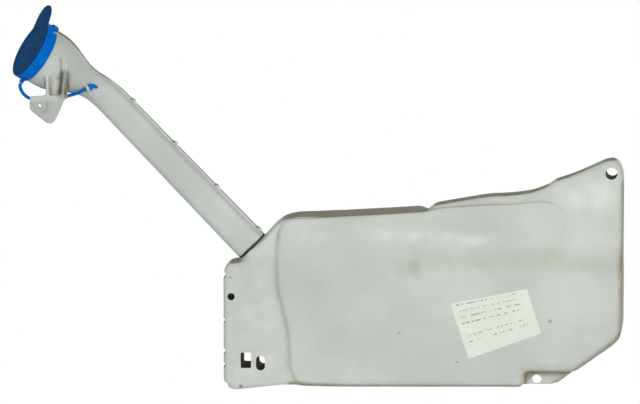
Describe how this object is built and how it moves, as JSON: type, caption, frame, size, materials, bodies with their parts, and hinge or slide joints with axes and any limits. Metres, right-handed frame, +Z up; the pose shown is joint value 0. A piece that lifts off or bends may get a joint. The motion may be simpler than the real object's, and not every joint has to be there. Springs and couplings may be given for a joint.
{
  "type": "washer fluid reservoir",
  "caption": "Flat blow-moulded washer fluid tank with a bolt ear, a long plug-in filler neck that ends in a flared mouth, and a tethered snap cap.",
  "frame": {"origin": "the ear's bolt hole on the ear's front face", "axes": "+X along the tank towards the ear, +Y from the front to the back, +Z up"},
  "size_m": [0.5801, 0.0902, 0.3643],
  "materials": {
    "tank_plastic": "natural polyethylene, satin, with dust in the creases",
    "neck_plastic": "natural polyethylene, satin",
    "cap_plastic": "blue, satin gloss",
    "tether_plastic": "blue, satin gloss",
    "seal_rubber": "black, matte",
    "label_film": "cream sticker"
  },
  "bodies": {
    "reservoir": {"tank": "tank_plastic", "tank_ear": "tank_plastic", "tank_edge": "tank_plastic", "neck_grommet": "seal_rubber", "filler_neck": "neck_plastic", "pump_grommet": "seal_rubber", "label": "label_film", "cap_tether": "tether_plastic"},
    "cap": {"filler_cap": "cap_plastic"}
  },
  "joints": [
    {"name": "cap_hinge", "type": "hinge", "parent": "reservoir", "child": "cap", "pos_m": [-0.55831, -0.02275, 0.08428], "axis": [0.4067, -0.9135, 0], "range_deg": [0, 110], "deforming": ["cap_tether"]}
  ]
}
